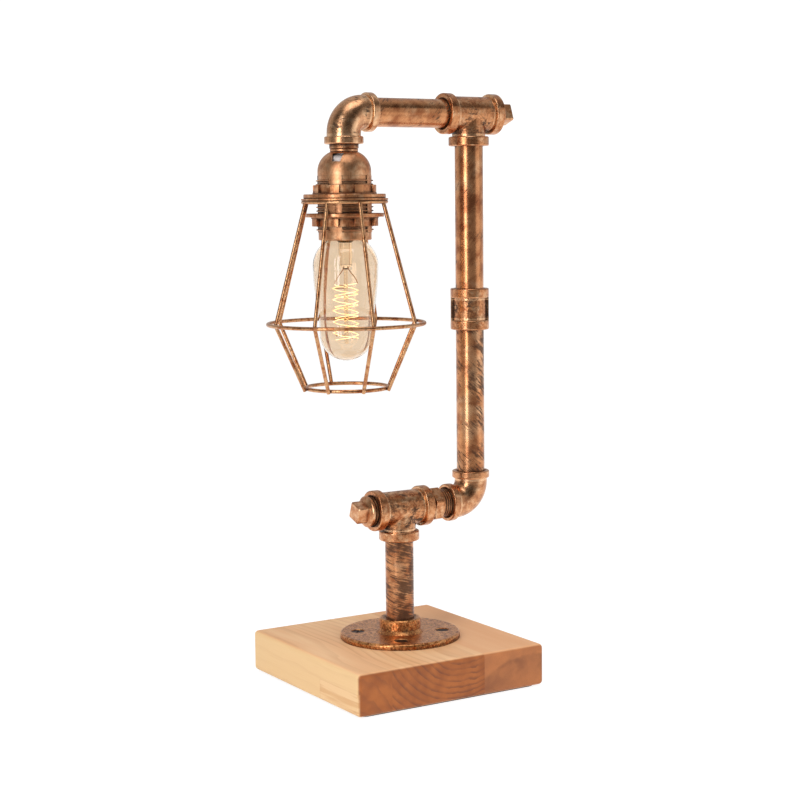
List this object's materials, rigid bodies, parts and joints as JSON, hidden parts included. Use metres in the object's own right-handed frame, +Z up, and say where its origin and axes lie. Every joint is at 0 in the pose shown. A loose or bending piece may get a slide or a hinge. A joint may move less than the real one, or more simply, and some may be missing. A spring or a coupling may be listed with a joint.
{
  "type": "table lamp",
  "caption": "Table lamp of threaded pipe and malleable fittings on a square wooden base, with an overhanging arm, a caged screw-base bulb and a friction swivel in the post.",
  "frame": {"origin": "centre of the base's underside, on the felt pad's lower face", "axes": "+Z up; the arm reaches from the post towards -X; +X is the back, where the cord leaves"},
  "size_m": [0.1912, 0.15, 0.4127],
  "materials": {
    "light_wood": "oiled, satin",
    "end_wood": "oiled, satin",
    "felt": "felt",
    "black_plastic": "matte",
    "cast_copper": "antique copper, brushed over a dark stain",
    "dark_cast_copper": "antique copper, pebbled",
    "pipe_copper": "antique copper, brushed",
    "holder_copper": "satin antique copper",
    "wire_copper": "antique copper",
    "zinc": "cast, dull",
    "steel_screw": "dark",
    "porcelain": "glazed",
    "brass_shell": "rolled",
    "bulb_brass": "rolled",
    "black_glass": "gloss",
    "solder": "dull",
    "bulb_glass": "clear, warm tint",
    "clear_glass": "clear",
    "filament": "glowing",
    "lead_sheath": "matte",
    "core_sheath": "matte"
  },
  "bodies": {
    "stand": {"base_stave_left": "light_wood", "base_stave_middle": "light_wood", "base_stave_right": "light_wood", "base_felt": "felt", "cord_gland": "black_plastic", "cord_gland_nut": "black_plastic", "floor_flange": "dark_cast_copper", "flange_screws": "steel_screw", "stem_nipple": "pipe_copper", "lower_tee": "cast_copper", "lower_plug": "cast_copper", "hex_nipple": "cast_copper", "lower_elbow": "cast_copper", "lower_post_pipe": "pipe_copper", "post_coupling": "cast_copper", "base_lead": "lead_sheath"},
    "arm": {"upper_post_pipe": "pipe_copper", "upper_tee": "cast_copper", "upper_plug": "cast_copper", "arm_pipe": "pipe_copper", "arm_lead": "lead_sheath"},
    "head": {"upper_elbow": "cast_copper", "holder_neck": "holder_copper", "neck_ring": "holder_copper", "holder_cap": "holder_copper", "cord_grip": "zinc", "grip_screw": "steel_screw", "holder_skirt": "holder_copper", "holder_core": "porcelain", "screw_shell": "brass_shell", "centre_contact": "brass_shell", "terminal_screws": "brass_shell", "upper_shade_ring": "holder_copper", "cage_plate": "wire_copper", "cage_top_ring": "wire_copper", "cage_wires": "wire_copper", "cage_mid_ring": "wire_copper", "cage_bottom_ring": "wire_copper", "head_lead": "lead_sheath", "holder_conductors": "core_sheath"},
    "lower_ring": {"lower_shade_ring": "holder_copper"},
    "bulb": {"bulb_cap": "bulb_brass", "bulb_seal": "black_glass", "bulb_tip": "solder", "bulb_glass": "bulb_glass", "bulb_stem": "clear_glass", "bulb_filament": "filament", "filament_supports": "solder"}
  },
  "joints": [
    {"name": "arm_swivel", "type": "hinge", "parent": "stand", "child": "arm", "pos_m": [0.065, 0, 0.2608], "axis": [0, 0, 1], "range_deg": [-90, 90]},
    {"name": "head_tilt", "type": "hinge", "parent": "arm", "child": "head", "pos_m": [-0.018, 0, 0.3984], "axis": [1, 0, 0], "range_deg": [-45, 45]},
    {"name": "lower_ring_travel", "type": "slide", "parent": "head", "child": "lower_ring", "axis": [0, 0, 1], "range_m": [-0.004, 0.0085]},
    {"name": "bulb_release", "type": "slide", "parent": "head", "child": "bulb", "axis": [0, 0, -1], "range_m": [0, 0.03]}
  ]
}
